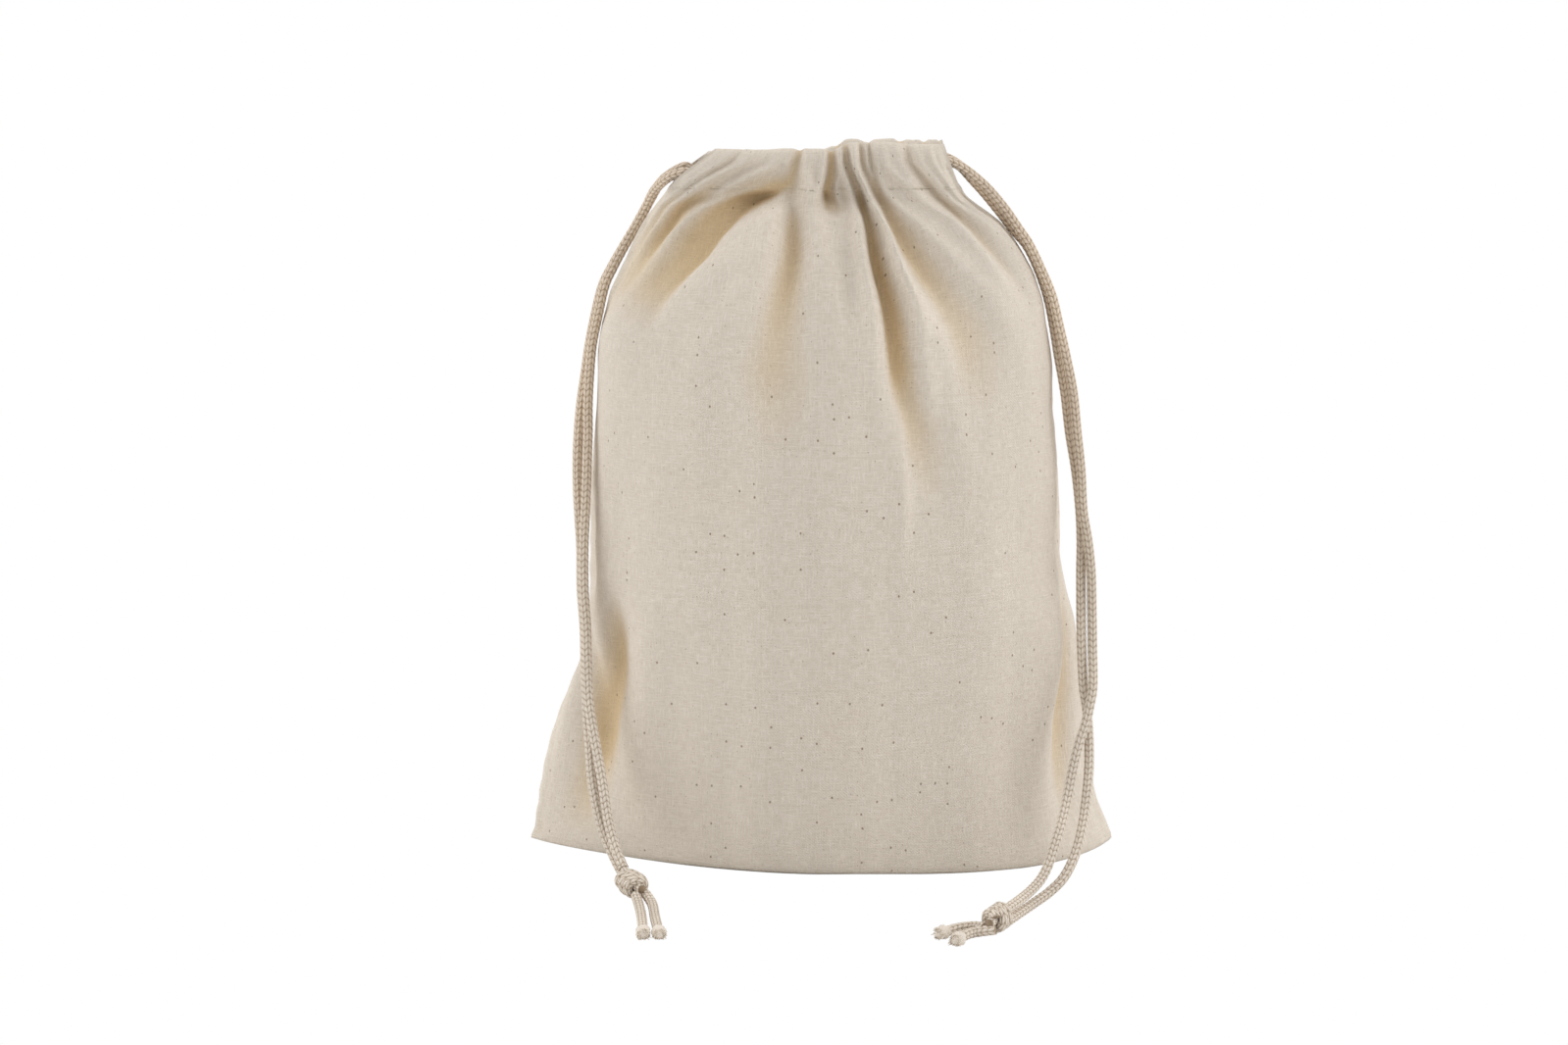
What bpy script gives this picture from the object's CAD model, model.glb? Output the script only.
"""A cotton produce bag with two drawcords: its cloth, gathers, stitches, braided cords and knots."""

import math
import random

import bmesh
import bpy
import numpy as np
from bpy.props import FloatProperty, FloatVectorProperty, IntProperty, PointerProperty
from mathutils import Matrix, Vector, noise


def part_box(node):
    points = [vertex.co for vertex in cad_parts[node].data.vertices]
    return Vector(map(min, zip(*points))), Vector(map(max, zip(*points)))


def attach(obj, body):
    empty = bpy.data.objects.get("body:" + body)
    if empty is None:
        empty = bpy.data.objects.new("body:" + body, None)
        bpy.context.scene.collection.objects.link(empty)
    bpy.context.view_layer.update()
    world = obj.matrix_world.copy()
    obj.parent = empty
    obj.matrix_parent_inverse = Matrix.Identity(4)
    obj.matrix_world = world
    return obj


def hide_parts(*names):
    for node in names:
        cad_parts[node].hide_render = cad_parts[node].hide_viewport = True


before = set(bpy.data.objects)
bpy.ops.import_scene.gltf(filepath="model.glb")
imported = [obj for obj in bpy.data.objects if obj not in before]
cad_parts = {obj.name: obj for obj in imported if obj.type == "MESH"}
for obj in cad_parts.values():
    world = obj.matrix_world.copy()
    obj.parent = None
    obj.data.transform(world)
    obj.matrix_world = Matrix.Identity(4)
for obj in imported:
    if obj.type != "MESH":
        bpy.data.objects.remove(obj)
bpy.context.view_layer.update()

bl_info = {
    "name": "Drawstring produce bag",
    "version": (1, 0, 0),
    "blender": (4, 5, 0),
    "location": "3D View > Sidebar > Bag",
    "description": "Gathered cotton cloth, stitched hems and knotted braided drawcords",
    "category": "Object",
}

MM = 0.001

# The pouch's box gives the driving sizes.
POUCH_LOW, POUCH_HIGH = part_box("pouch")
POUCH_HEIGHT = POUCH_HIGH.z
HALF_WIDTH = 0.5 * (POUCH_HIGH.x - POUCH_LOW.x)
HALF_DEPTH = 0.5 * (POUCH_HIGH.y - POUCH_LOW.y)

# Each panel of cloth is 203 mm wide.
PANEL_WIDTH = 0.203

# Sections of the pouch from the bottom up, as shares of the pouch's height, half width and half depth.
SECTION_COLUMNS = ("height", "left", "right", "front", "back", "left_full", "right_full", "corner")
SECTIONS = np.array((
    (0.000, 1.000, 1.000, 0.870, 0.850, 1.58, 4.00, 0.85),
    (0.012, 0.998, 0.996, 0.930, 0.910, 1.60, 3.80, 0.84),
    (0.050, 0.975, 0.955, 0.968, 0.955, 1.68, 3.20, 0.82),
    (0.120, 0.932, 0.905, 0.990, 0.985, 1.82, 2.70, 0.76),
    (0.200, 0.880, 0.885, 1.000, 1.000, 1.95, 2.30, 0.70),
    (0.280, 0.822, 0.870, 0.998, 1.000, 2.05, 2.20, 0.60),
    (0.350, 0.797, 0.850, 0.990, 0.998, 2.10, 2.15, 0.54),
    (0.470, 0.781, 0.800, 0.975, 0.985, 2.10, 2.10, 0.51),
    (0.580, 0.772, 0.794, 0.950, 0.965, 2.10, 2.10, 0.50),
    (0.690, 0.760, 0.766, 0.915, 0.935, 2.10, 2.10, 0.50),
    (0.780, 0.750, 0.750, 0.850, 0.880, 2.10, 2.10, 0.50),
    (0.850, 0.715, 0.730, 0.745, 0.785, 2.15, 2.15, 0.50),
    (0.910, 0.655, 0.665, 0.600, 0.640, 2.25, 2.25, 0.50),
    (0.955, 0.604, 0.592, 0.440, 0.470, 2.50, 2.50, 0.50),
    (0.985, 0.552, 0.510, 0.310, 0.318, 4.50, 4.50, 0.43),
    (1.000, 0.524, 0.472, 0.252, 0.240, 9.00, 9.00, 0.36),
    (1.030, 0.476, 0.438, 0.240, 0.226, 14.0, 14.0, 0.35),
    (1.075, 0.338, 0.402, 0.226, 0.214, 14.0, 14.0, 0.35),
))

# Folds of the cloth, from the top down. Each is its lean, which steepens its right side if above 0
# and its left side if below, and then rows of: height as a share of the pouch's height, place as a
# share of the way across the panel from its left seam, depth into the bag in millimetres, and half
# width as a share of the way across. A fold whose depth is below 0 is a ridge.
FRONT_FOLDS = (
    (0.80, (
        (1.075, 0.430, 1.2, 0.012), (1.034, 0.429, 2.4, 0.016), (1.014, 0.411, 4.4, 0.026), (1.000, 0.381, 5.4, 0.036),
        (0.985, 0.336, 5.6, 0.042), (0.960, 0.300, 5.6, 0.044), (0.922, 0.273, 5.0, 0.044), (0.878, 0.235, 3.4, 0.044),
        (0.849, 0.217, 1.9, 0.046), (0.790, 0.190, 0.0, 0.050),
    )),
    (0.30, ((1.030, 0.418, 0.0, 0.026), (1.012, 0.402, 1.6, 0.030), (0.996, 0.376, 1.6, 0.036), (0.970, 0.330, 0.0, 0.040))),
    (0.0, (
        (1.075, 0.427, 0.8, 0.010), (1.034, 0.439, 2.0, 0.012), (0.983, 0.443, 3.4, 0.017), (0.938, 0.449, 4.2, 0.021),
        (0.886, 0.443, 4.0, 0.027), (0.832, 0.435, 3.2, 0.036), (0.730, 0.425, 1.6, 0.050), (0.600, 0.415, 0.0, 0.060),
    )),
    (0.0, ((1.075, 0.485, -0.9, 0.018), (1.030, 0.478, -1.2, 0.020), (0.983, 0.474, -1.2, 0.024), (0.920, 0.480, -0.7, 0.030), (0.850, 0.485, 0.0, 0.030))),
    (-0.5, ((1.075, 0.520, 3.2, 0.008), (1.034, 0.516, 4.6, 0.009), (1.005, 0.506, 4.4, 0.010), (0.996, 0.507, 3.0, 0.012), (0.984, 0.511, 1.0, 0.016), (0.970, 0.515, 0.0, 0.020))),
    (0.0, ((1.075, 0.536, -0.7, 0.009), (1.034, 0.550, -0.9, 0.009), (0.997, 0.568, -1.0, 0.010), (0.946, 0.564, -1.1, 0.011), (0.886, 0.566, -1.1, 0.012), (0.832, 0.574, -0.9, 0.014), (0.725, 0.592, -0.4, 0.016), (0.600, 0.600, 0.0, 0.020))),
    (-0.3, (
        (1.075, 0.549, 2.4, 0.008), (1.042, 0.561, 2.6, 0.008), (1.010, 0.580, 3.2, 0.010), (0.983, 0.585, 4.4, 0.012),
        (0.920, 0.585, 6.2, 0.013), (0.856, 0.594, 6.4, 0.015), (0.790, 0.601, 5.4, 0.017), (0.730, 0.606, 3.6, 0.018),
        (0.670, 0.609, 1.4, 0.018), (0.600, 0.610, 0.0, 0.018),
    )),
    (0.0, (
        (1.075, 0.570, -0.8, 0.009), (1.034, 0.586, -1.0, 0.009), (0.994, 0.604, -1.3, 0.010), (0.946, 0.609, -1.6, 0.011),
        (0.908, 0.617, -1.6, 0.012), (0.870, 0.630, -1.5, 0.014), (0.831, 0.647, -1.2, 0.016), (0.780, 0.670, -0.7, 0.020), (0.730, 0.690, 0.0, 0.025),
    )),
    (-0.3, (
        (1.075, 0.594, 2.0, 0.007), (1.038, 0.603, 2.4, 0.008), (1.014, 0.618, 2.8, 0.010), (0.997, 0.627, 3.2, 0.013),
        (0.972, 0.634, 3.6, 0.018), (0.938, 0.646, 3.8, 0.024), (0.893, 0.666, 3.6, 0.032), (0.835, 0.695, 2.8, 0.042), (0.760, 0.728, 1.4, 0.050), (0.680, 0.750, 0.0, 0.050),
    )),
    (0.0, ((1.075, 0.616, 1.5, 0.007), (1.050, 0.621, 1.7, 0.007), (1.018, 0.630, 1.3, 0.008), (1.000, 0.636, 0.0, 0.010))),
    (0.0, ((1.075, 0.640, -0.5, 0.012), (1.042, 0.668, -0.9, 0.016), (1.018, 0.708, -1.1, 0.020), (0.986, 0.744, -1.3, 0.022), (0.949, 0.766, -1.3, 0.024), (0.912, 0.786, -1.1, 0.026), (0.876, 0.807, -0.7, 0.030), (0.820, 0.830, 0.0, 0.030))),
    (0.2, ((1.075, 0.700, 0.9, 0.014), (1.058, 0.726, 1.4, 0.016), (1.014, 0.782, 2.0, 0.020), (0.974, 0.810, 2.1, 0.022), (0.922, 0.835, 1.7, 0.026), (0.877, 0.860, 1.0, 0.028), (0.820, 0.880, 0.0, 0.030))),
    (0.0, ((1.055, 0.820, -0.7, 0.014), (1.006, 0.878, -1.0, 0.018), (0.959, 0.902, -1.0, 0.020), (0.909, 0.930, -0.8, 0.022), (0.858, 0.955, 0.0, 0.020))),
    (0.0, ((1.045, 0.895, 0.8, 0.012), (1.000, 0.935, 1.1, 0.014), (0.950, 0.955, 0.9, 0.014), (0.900, 0.970, 0.0, 0.014))),
    (0.0, ((1.075, 0.405, -0.5, 0.018), (1.050, 0.385, -0.8, 0.022), (1.034, 0.340, -1.1, 0.030), (1.002, 0.268, -1.4, 0.036), (0.962, 0.205, -1.3, 0.036), (0.922, 0.156, -1.0, 0.036), (0.870, 0.120, 0.0, 0.036))),
    (0.0, ((1.056, 0.360, 0.4, 0.020), (1.036, 0.290, 0.9, 0.025), (1.000, 0.210, 1.4, 0.030), (0.960, 0.145, 1.3, 0.030), (0.920, 0.110, 0.6, 0.030), (0.880, 0.090, 0.0, 0.030))),
    (0.0, ((1.062, 0.321, -0.4, 0.018), (1.034, 0.241, -0.8, 0.022), (0.997, 0.158, -0.9, 0.026), (0.951, 0.088, -0.8, 0.026), (0.900, 0.050, 0.0, 0.020))),
    (0.0, ((1.058, 0.249, 0.8, 0.016), (1.022, 0.184, 1.1, 0.018), (0.984, 0.107, 1.1, 0.020), (0.943, 0.055, 0.7, 0.020), (0.900, 0.035, 0.0, 0.020))),
    (0.4, ((0.760, 0.600, 0.0, 0.010), (0.700, 0.603, -1.3, 0.012), (0.610, 0.604, -1.5, 0.014), (0.530, 0.603, -1.0, 0.016), (0.460, 0.602, 0.0, 0.018))),
    (0.0, ((0.740, 0.632, 0.0, 0.022), (0.670, 0.638, 1.7, 0.026), (0.600, 0.642, 1.3, 0.030), (0.520, 0.646, 0.0, 0.030))),
    (0.0, ((0.430, 0.150, 0.0, 0.040), (0.330, 0.142, 4.2, 0.042), (0.200, 0.128, 5.0, 0.046), (0.090, 0.115, 2.6, 0.050), (0.020, 0.110, 0.0, 0.050))),
    (0.3, ((0.380, 0.055, 0.0, 0.020), (0.300, 0.072, 2.0, 0.024), (0.220, 0.095, 1.6, 0.030), (0.150, 0.120, 0.0, 0.034))),
    (0.0, ((0.440, 0.945, 0.0, 0.028), (0.330, 0.940, 3.2, 0.030), (0.180, 0.926, 3.6, 0.034), (0.080, 0.918, 1.8, 0.036), (0.020, 0.914, 0.0, 0.036))),
    (0.3, ((0.560, 0.050, 0.0, 0.020), (0.470, 0.058, 1.2, 0.020), (0.380, 0.070, 0.0, 0.020))),
    (-0.3, ((0.600, 0.960, 0.0, 0.018), (0.510, 0.945, 1.3, 0.020), (0.420, 0.930, 0.0, 0.024))),
)
BACK_FOLDS = (
    (0.0, ((1.075, 0.095, 1.2, 0.012), (1.000, 0.070, 1.6, 0.016), (0.900, 0.040, 0.0, 0.018))),
    (-0.2, ((1.075, 0.190, 1.8, 0.012), (1.000, 0.165, 3.0, 0.018), (0.930, 0.140, 2.0, 0.024), (0.860, 0.120, 0.0, 0.026))),
    (0.3, ((1.075, 0.290, 2.2, 0.012), (1.000, 0.265, 4.2, 0.018), (0.880, 0.240, 2.6, 0.030), (0.740, 0.225, 0.0, 0.036))),
    (-0.3, ((1.075, 0.380, 2.6, 0.012), (1.000, 0.372, 5.2, 0.018), (0.820, 0.358, 3.0, 0.036), (0.620, 0.345, 0.0, 0.048))),
    (0.2, ((1.075, 0.462, 2.2, 0.011), (1.000, 0.460, 4.0, 0.016), (0.900, 0.457, 2.2, 0.024), (0.820, 0.455, 0.0, 0.028))),
    (0.3, ((1.075, 0.545, 2.6, 0.012), (1.000, 0.552, 5.6, 0.018), (0.780, 0.566, 3.2, 0.038), (0.560, 0.575, 0.0, 0.052))),
    (-0.3, ((1.075, 0.640, 2.4, 0.012), (1.000, 0.655, 4.6, 0.018), (0.860, 0.680, 2.8, 0.032), (0.700, 0.700, 0.0, 0.040))),
    (0.2, ((1.075, 0.735, 2.0, 0.012), (1.000, 0.765, 3.4, 0.018), (0.900, 0.795, 2.0, 0.026), (0.800, 0.815, 0.0, 0.028))),
    (0.0, ((1.075, 0.830, 1.4, 0.012), (1.000, 0.862, 2.4, 0.016), (0.930, 0.888, 1.2, 0.020), (0.860, 0.905, 0.0, 0.020))),
    (0.0, ((0.400, 0.125, 0.0, 0.036), (0.280, 0.118, 3.2, 0.040), (0.140, 0.106, 2.6, 0.045), (0.030, 0.100, 0.0, 0.045))),
    (0.0, ((0.400, 0.870, 0.0, 0.036), (0.280, 0.878, 3.4, 0.040), (0.140, 0.892, 2.6, 0.045), (0.030, 0.900, 0.0, 0.045))),
)

# Soft steps across the front under the drawn mouth: the first and last place, the height, the depth in
# millimetres, and how far the step fades upwards and downwards.
FRONT_STEPS = (
    (0.500, 0.585, 0.986, 1.5, 0.030, 0.007),
    (0.395, 0.435, 0.990, 0.9, 0.022, 0.009),
)

# How much deeper than in the tables the folds are pressed.
FOLD_STRENGTH = 1.4

# The pairs of cord ends, from the hem to the knot, in millimetres: the middle of the pair, the
# distance between the two cords' centres, and the angle of the line between them.
LEFT_ROUTE = (
    (-41.0, 0.0, 228.2, 12.8, 90),
    (-42.6, 0.0, 228.2, 12.7, 90),
    (-45.4, 0.0, 228.2, 12.7, 90),
    (-48.8, 1.8, 227.4, 11.4, 90),
    (-54.4, 7.2, 222.8, 7.8, 90),
    (-58.2, 10.8, 216.2, 5.6, 90),
    (-62.2, 11.6, 209.0, 4.4, 90),
    (-66.4, 9.8, 202.0, 4.2, 88),
    (-70.0, 7.4, 195.6, 4.2, 84),
    (-72.9, 5.2, 189.4, 4.2, 80),
    (-75.2, 2.4, 179.7, 4.2, 76),
    (-77.0, -0.4, 170.5, 4.2, 76),
    (-78.1, -2.8, 161.0, 4.2, 68),
    (-79.0, -5.2, 151.6, 4.2, 54),
    (-79.4, -7.4, 142.2, 4.3, 40),
    (-79.7, -9.4, 132.8, 4.3, 38),
    (-79.8, -11.0, 123.4, 4.2, 44),
    (-79.7, -13.5, 114.0, 4.2, 60),
    (-79.6, -15.6, 104.4, 4.2, 74),
    (-79.5, -18.2, 91.7, 4.2, 75),
    (-78.6, -20.8, 78.9, 4.2, 76),
    (-78.2, -24.5, 66.4, 4.2, 76),
    (-77.5, -29.0, 54.2, 4.2, 74),
    (-75.8, -34.7, 42.4, 4.2, 55),
    (-73.8, -41.8, 31.0, 4.2, 32),
    (-71.1, -49.9, 20.1, 4.2, 44),
    (-67.8, -56.2, 12.6, 4.2, 56),
    (-64.6, -61.6, 7.4, 4.2, 62),
)
RIGHT_ROUTE = (
    (38.0, 0.0, 232.4, 12.8, 90),
    (39.6, 0.0, 232.4, 12.7, 90),
    (42.2, 0.0, 231.6, 11.6, 90),
    (45.6, -0.2, 229.6, 9.8, 88),
    (49.8, -0.5, 225.8, 7.6, 80),
    (54.2, -0.9, 221.4, 5.8, 72),
    (59.3, -1.3, 215.3, 4.6, 66),
    (63.9, -2.1, 209.1, 4.3, 70),
    (67.8, -2.8, 204.0, 4.2, 80),
    (71.6, -3.8, 196.3, 4.2, 82),
    (75.0, -5.0, 187.5, 4.2, 74),
    (77.2, -6.3, 178.0, 4.2, 70),
    (79.2, -7.6, 168.0, 4.2, 60),
    (81.5, -9.2, 156.1, 4.3, 57),
    (83.0, -10.8, 143.2, 4.2, 60),
    (84.8, -12.4, 130.3, 4.2, 72),
    (85.9, -14.1, 117.4, 4.2, 82),
    (87.0, -15.6, 107.0, 4.2, 64),
    (87.5, -17.0, 97.0, 3.8, 34),
    (87.7, -19.0, 85.2, 3.6, 12),
    (87.8, -22.2, 72.6, 3.6, 12),
    (88.0, -26.5, 60.3, 4.2, 48),
    (87.9, -29.1, 54.2, 4.2, 82),
    (87.3, -32.1, 48.3, 4.2, 112),
    (86.2, -35.8, 43.0, 4.6, 145),
    (84.8, -40.6, 36.2, 5.6, 168),
    (83.0, -47.0, 28.2, 6.3, 178),
    (80.9, -53.6, 20.9, 7.0, 180),
    (78.0, -60.4, 14.2, 7.4, 180),
    (74.8, -66.0, 9.0, 6.6, 180),
    (71.0, -70.4, 5.6, 5.2, 180),
    (66.4, -77.0, 4.0, 4.4, 180),
    (61.6, -85.6, 3.6, 4.2, 180),
    (56.6, -95.0, 3.6, 4.2, 180),
)

# The tails past each knot, in millimetres on the surface.
LEFT_TAILS = (
    ((-58.8, -79.0), (-57.4, -91.0), (-56.4, -104.0)),
    ((-54.6, -78.0), (-53.2, -91.0), (-51.6, -104.0)),
)
RIGHT_TAILS = (
    ((46.4, -99.6), (41.4, -101.2), (37.4, -104.6)),
    ((46.8, -104.8), (43.8, -107.0), (41.6, -110.4)),
)

# The pouch's cloth ends at the stitch line, and the hems' folded cloth goes on from there.
STITCH_LEVEL = 0.2234
TOP_SHARE = STITCH_LEVEL / POUCH_HEIGHT
FRONT_RIM = 0.2359
BACK_RIM = 0.2382
HEM_TOP_HALF_WIDTH = 0.0345
HEM_SLOPE = 0.72
HEM_END = 0.992
OUTER_CLEAR = 0.0088
INNER_CLEAR = 0.0036
MOUTH_GAP = 0.0058
HEM_CLOTH_START = 0.258

# Gathers: their number along the mouth, depth in millimetres and reach below the stitches in metres.
GATHERS = (
    (15, 0.50, 0.016),
    (27, 0.55, 0.009),
    (43, 0.30, 0.005),
)

# The camera stands where the photo was taken from.
CAMERA_PLACE = (-0.0127, -1.0, 0.308)
CAMERA_TARGET = (-0.0127, 0.0, 0.1103)
CAMERA_LENS = 69.54


def smoothstep(share):
    share = np.clip(share, 0.0, 1.0)
    return share * share * (3.0 - 2.0 * share)


def section_at(height):
    """The section's values at a share of the pouch's height, smoothly between the rows."""
    heights = SECTIONS[:, 0]
    row = int(np.clip(np.searchsorted(heights, height) - 1, 0, len(heights) - 2))
    before = SECTIONS[max(row - 1, 0)]
    low = SECTIONS[row]
    high = SECTIONS[row + 1]
    after = SECTIONS[min(row + 2, len(heights) - 1)]
    span = high[0] - low[0]
    share = (height - low[0]) / span
    start_slope = (high - before) * span / max(high[0] - before[0], 1e-9)
    end_slope = (after - low) * span / max(after[0] - low[0], 1e-9)
    square = share * share
    cube = square * share
    values = (
        low * (2.0 * cube - 3.0 * square + 1.0)
        + start_slope * (cube - 2.0 * square + share)
        + high * (3.0 * square - 2.0 * cube)
        + end_slope * (cube - square)
    )
    return dict(zip(SECTION_COLUMNS, values))


def plain_row(face, places, height):
    """One row of points across a panel without its folds, in metres."""
    section = section_at(height)
    pointed = min(max((section["corner"] - 0.5) / 0.5, 0.0), 1.0)
    across = -np.cos(np.pi * places) * (1.0 - pointed) + (2.0 * places - 1.0) * pointed
    left = across < 0.0
    full = np.where(left, section["left_full"], section["right_full"])
    reach = np.where(left, section["left"], section["right"])
    bulge = np.maximum(1.0 - np.abs(across) ** full, 0.0) ** section["corner"]
    depth = -section["front"] if face == "front" else section["back"]
    row = np.zeros((len(places), 3))
    row[:, 0] = across * reach * HALF_WIDTH
    row[:, 1] = depth * bulge * HALF_DEPTH
    row[:, 2] = height * POUCH_HEIGHT
    return row


def smooth_table(table, heights):
    """The columns of a table of rows from the top down, smoothly at each of these heights."""
    rows = np.array(table)[::-1]
    at = rows[:, 0]
    slopes = np.gradient(rows[:, 1:], at, axis=0)
    spots = np.clip(heights, at[0], at[-1])
    low = np.clip(np.searchsorted(at, spots) - 1, 0, len(at) - 2)
    span = at[low + 1] - at[low]
    share = (spots - at[low]) / span
    square = share ** 2
    cube = share ** 3
    columns = []
    for column in range(rows.shape[1] - 1):
        start = rows[low, column + 1]
        end = rows[low + 1, column + 1]
        columns.append(
            start * (2.0 * cube - 3.0 * square + 1.0)
            + slopes[low, column] * span * (cube - 2.0 * square + share)
            + end * (3.0 * square - 2.0 * cube)
            + slopes[low + 1, column] * span * (cube - square)
        )
    return columns


def fold_depth(folds, places, heights):
    """How far the folds push the cloth in at each place and height, in metres."""
    depth = np.zeros(np.broadcast(places, heights).shape)
    for lean, table in folds:
        line, deep, width = smooth_table(table, heights)
        inside = (heights <= table[0][0] + 0.002) & (heights >= table[-1][0])
        width = np.maximum(width, 0.004)
        across = (places - line) / width
        steep = 1.0 + lean * np.tanh(1.5 * across)
        valley = np.exp(-np.abs(across * steep) ** 1.8)
        sides = 0.30 * np.exp(-((np.abs(across) - 2.1) / 0.85) ** 2)
        deep = np.where(deep > 0.0, deep * (valley - sides), deep * valley) * FOLD_STRENGTH
        depth += np.where(inside, deep, 0.0)
    return depth * MM


def step_depth(steps, places, heights):
    """How far the soft steps under the mouth push the cloth in, in metres."""
    depth = np.zeros(np.broadcast(places, heights).shape)
    for first, last, level, deep, up, down in steps:
        inside = smoothstep((places - first) / 0.02 + 0.5) * smoothstep((last - places) / 0.02 + 0.5)
        above = heights - level
        fade = np.where(above > 0.0, np.exp(-(above / up) ** 2), np.exp(-(above / down) ** 2))
        depth += deep * inside * fade
    return depth * MM

def soft_noise(seed, across, along, cells_across, cells_along):
    """Smooth seeded noise from -1 to 1. Across runs once round, from 0 to 1, and meets itself."""
    chance = np.random.default_rng(seed)
    grid = chance.uniform(-1.0, 1.0, (cells_along + 2, cells_across + 1))
    grid[:, cells_across] = grid[:, 0]
    column = np.mod(across, 1.0) * cells_across
    row = np.clip(along, 0.0, 1.0) * cells_along
    column, row = np.broadcast_arrays(column, row)
    left = np.minimum(column.astype(int), cells_across - 1)
    low = np.minimum(row.astype(int), cells_along)
    right_share = column - left
    up_share = row - low
    right_share = right_share ** 3 * (right_share * (right_share * 6.0 - 15.0) + 10.0)
    up_share = up_share ** 3 * (up_share * (up_share * 6.0 - 15.0) + 10.0)
    lower = grid[low, left] * (1.0 - right_share) + grid[low, left + 1] * right_share
    upper = grid[low + 1, left] * (1.0 - right_share) + grid[low + 1, left + 1] * right_share
    return lower * (1.0 - up_share) + upper * up_share


def mouth_share(places):
    """The share of the way along the mouth, from -1 to 1, of a column at these places."""
    return -np.cos(np.pi * places)


def gathers(face, places, heights):
    """How far the gathers under the drawn mouth push the cloth in, in metres."""
    share = mouth_share(places)
    seed = 11 if face == "front" else 23
    below = np.maximum(STITCH_LEVEL - heights * POUCH_HEIGHT, 0.0)
    push = np.zeros(np.broadcast(places, heights).shape)
    for number, (count, deep, reach) in enumerate(GATHERS):
        warp = soft_noise(seed + number, 0.5 + 0.45 * share, 0.5 + 0.0 * share, count, 1)
        strength = 0.75 + 0.5 * soft_noise(seed + 7 + number, 0.5 + 0.45 * share, 0.2 + 0.0 * share, count, 1)
        phase = 0.5 * np.pi * count * share + 1.1 * warp + 1.7 * number
        drift = 0.6 * soft_noise(seed + 17 + number, 0.5 + 0.45 * share, heights * 0.9, count, 9)
        wave = np.abs(np.cos(phase + drift)) ** 0.75
        spread = reach * (1.0 + 0.5 * soft_noise(seed + 29 + number, 0.5 + 0.45 * share, 0.7 + 0.0 * share, count, 1))
        fade = np.exp(-(below / spread) ** 1.4)
        push = push + deep * strength * (0.62 - wave) * fade
    edge = 1.0 - smoothstep((np.abs(share) - 0.86) / 0.14)
    if face == "front":
        edge = edge * (0.22 + 0.78 * np.exp(-((share - 0.18) / 0.30) ** 2))
    return push * edge * MM


def wrinkles(face, places, heights):
    """Slight waves of the filled cloth, puckers at its seams and the stitch line's groove, in metres."""
    around = 0.5 * places if face == "front" else 1.0 - 0.5 * places
    tall = heights / 1.08
    push = 0.9 * soft_noise(41, around, tall, 11, 6)
    push = push + 0.42 * soft_noise(42, around + 0.11 * tall, tall, 24, 13)
    push = push + 0.16 * soft_noise(43, around - 0.13 * tall, tall, 62, 30)
    calm = smoothstep((1.0 - heights) / 0.12)
    push = push * (0.35 + 0.65 * calm)
    level = heights * POUCH_HEIGHT
    from_seam = np.minimum(places, 1.0 - places) * PANEL_WIDTH
    pucker = np.sin(2.0 * np.pi * level / 0.0105 + 2.5 * soft_noise(44, around, tall, 4, 9))
    seamed = smoothstep((0.213 - level) / 0.02)
    uneven = 0.5 + 0.5 * soft_noise(45, around, tall, 4, 14)
    push = push + seamed * 0.22 * uneven * pucker * np.exp(-(from_seam / 0.010) ** 1.3)
    push = push + seamed * 0.6 * np.exp(-((from_seam - 0.0035) / 0.0016) ** 2)
    push = push + 0.05 * np.exp(-((level - STITCH_LEVEL - 0.0012) / 0.0010) ** 2)
    low = 1.0 - smoothstep(level / 0.004)
    return push * (1.0 - 0.8 * low) * MM


def cloth_push(face, places, heights):
    """How far the cloth lies inside its plain shape, in metres."""
    push = gathers(face, places, heights) + wrinkles(face, places, heights)
    if face == "front":
        return push + fold_depth(FRONT_FOLDS, places, heights) + step_depth(FRONT_STEPS, places, heights)
    return push + fold_depth(BACK_FOLDS, 1.0 - places, heights)


def face_grid(face, places, heights):
    """The plain points of one panel, row by row."""
    return np.array([plain_row(face, places, height) for height in heights])


def grid_normals(points, closed):
    """Outward normals of a grid of points whose columns run from the left seam over the front."""
    if closed:
        across = np.roll(points, -1, axis=1) - np.roll(points, 1, axis=1)
    else:
        across = np.gradient(points, axis=1)
    up = np.gradient(points, axis=0)
    normals = np.cross(across, up)
    return normals / np.maximum(np.linalg.norm(normals, axis=2, keepdims=True), 1e-12)


def pouch_heights(count):
    """Heights of the pouch's rows, closer together at the foot and under the gathers."""
    steps = []
    for index in range(count):
        share = index / (count - 1)
        near_foot = 2.2 * math.exp(-share / 0.03)
        near_top = 2.4 * float(smoothstep((share - 0.62) / 0.3))
        steps.append(1.0 / (1.0 + near_foot + near_top))
    reached = np.concatenate(([0.0], np.cumsum(steps[:-1])))
    return reached / reached[-1] * TOP_SHARE


def column_places(half_columns):
    """Places of one panel's columns, closer together in the middle, where the folds are."""
    even = np.linspace(0.0, 1.0, half_columns + 1)
    return even + 0.055 * np.sin(2.0 * np.pi * even)


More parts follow.
